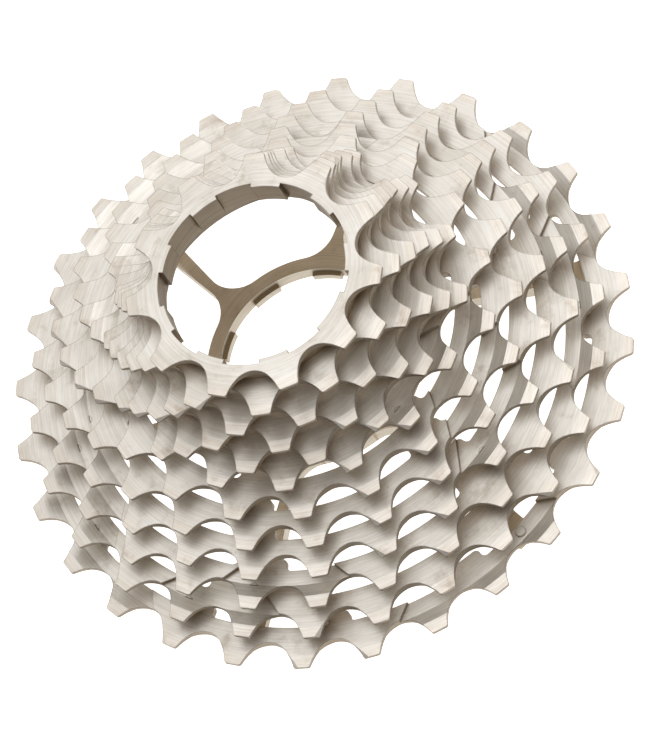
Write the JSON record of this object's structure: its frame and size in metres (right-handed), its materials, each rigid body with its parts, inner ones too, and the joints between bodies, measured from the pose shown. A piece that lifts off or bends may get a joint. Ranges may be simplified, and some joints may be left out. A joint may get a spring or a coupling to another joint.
{
  "type": "bicycle cassette",
  "caption": "Stack of bicycle sprockets in a hollow dome on a splined carrier, with a loose smallest sprocket on top.",
  "frame": {"origin": "on the cassette's axis, in the plane of the carrier's feet, at the bottom centre of the bounding box", "axes": "+Z along the cassette's axis from the largest sprocket towards the smallest; +X and +Y have no special direction"},
  "size_m": [0.1144, 0.1144, 0.0432],
  "materials": {
    "sprocket_steel": "satin nickel-plated, machined",
    "pin_steel": "satin nickel-plated",
    "carrier_alloy": "fine bead-blasted, bronze anodised"
  },
  "bodies": {
    "sprocket_cluster": {"sprocket_12_tooth": "sprocket_steel", "sprocket_13_tooth": "sprocket_steel", "sprocket_14_tooth": "sprocket_steel", "sprocket_15_tooth": "sprocket_steel", "sprocket_16_tooth": "sprocket_steel", "sprocket_18_tooth": "sprocket_steel", "sprocket_20_tooth": "sprocket_steel", "sprocket_22_tooth": "sprocket_steel", "sprocket_24_tooth": "sprocket_steel", "sprocket_26_tooth": "sprocket_steel", "sprocket_28_tooth": "sprocket_steel", "joining_pins_12_to_13": "pin_steel", "joining_pins_13_to_14": "pin_steel", "joining_pins_14_to_15": "pin_steel", "joining_pins_15_to_16": "pin_steel", "joining_pins_16_to_18": "pin_steel", "joining_pins_18_to_20": "pin_steel", "joining_pins_20_to_22": "pin_steel", "joining_pins_22_to_24": "pin_steel", "joining_pins_24_to_26": "pin_steel", "joining_pins_26_to_28": "pin_steel", "splined_ring": "carrier_alloy", "carrier_arms": "carrier_alloy", "carrier_rivets": "pin_steel"},
    "loose_sprocket": {"sprocket_11_tooth": "sprocket_steel"}
  },
  "joints": [
    {"name": "loose_sprocket_lift", "type": "slide", "parent": "sprocket_cluster", "child": "loose_sprocket", "axis": [0, 0, 1], "range_m": [0, 0.03]}
  ]
}
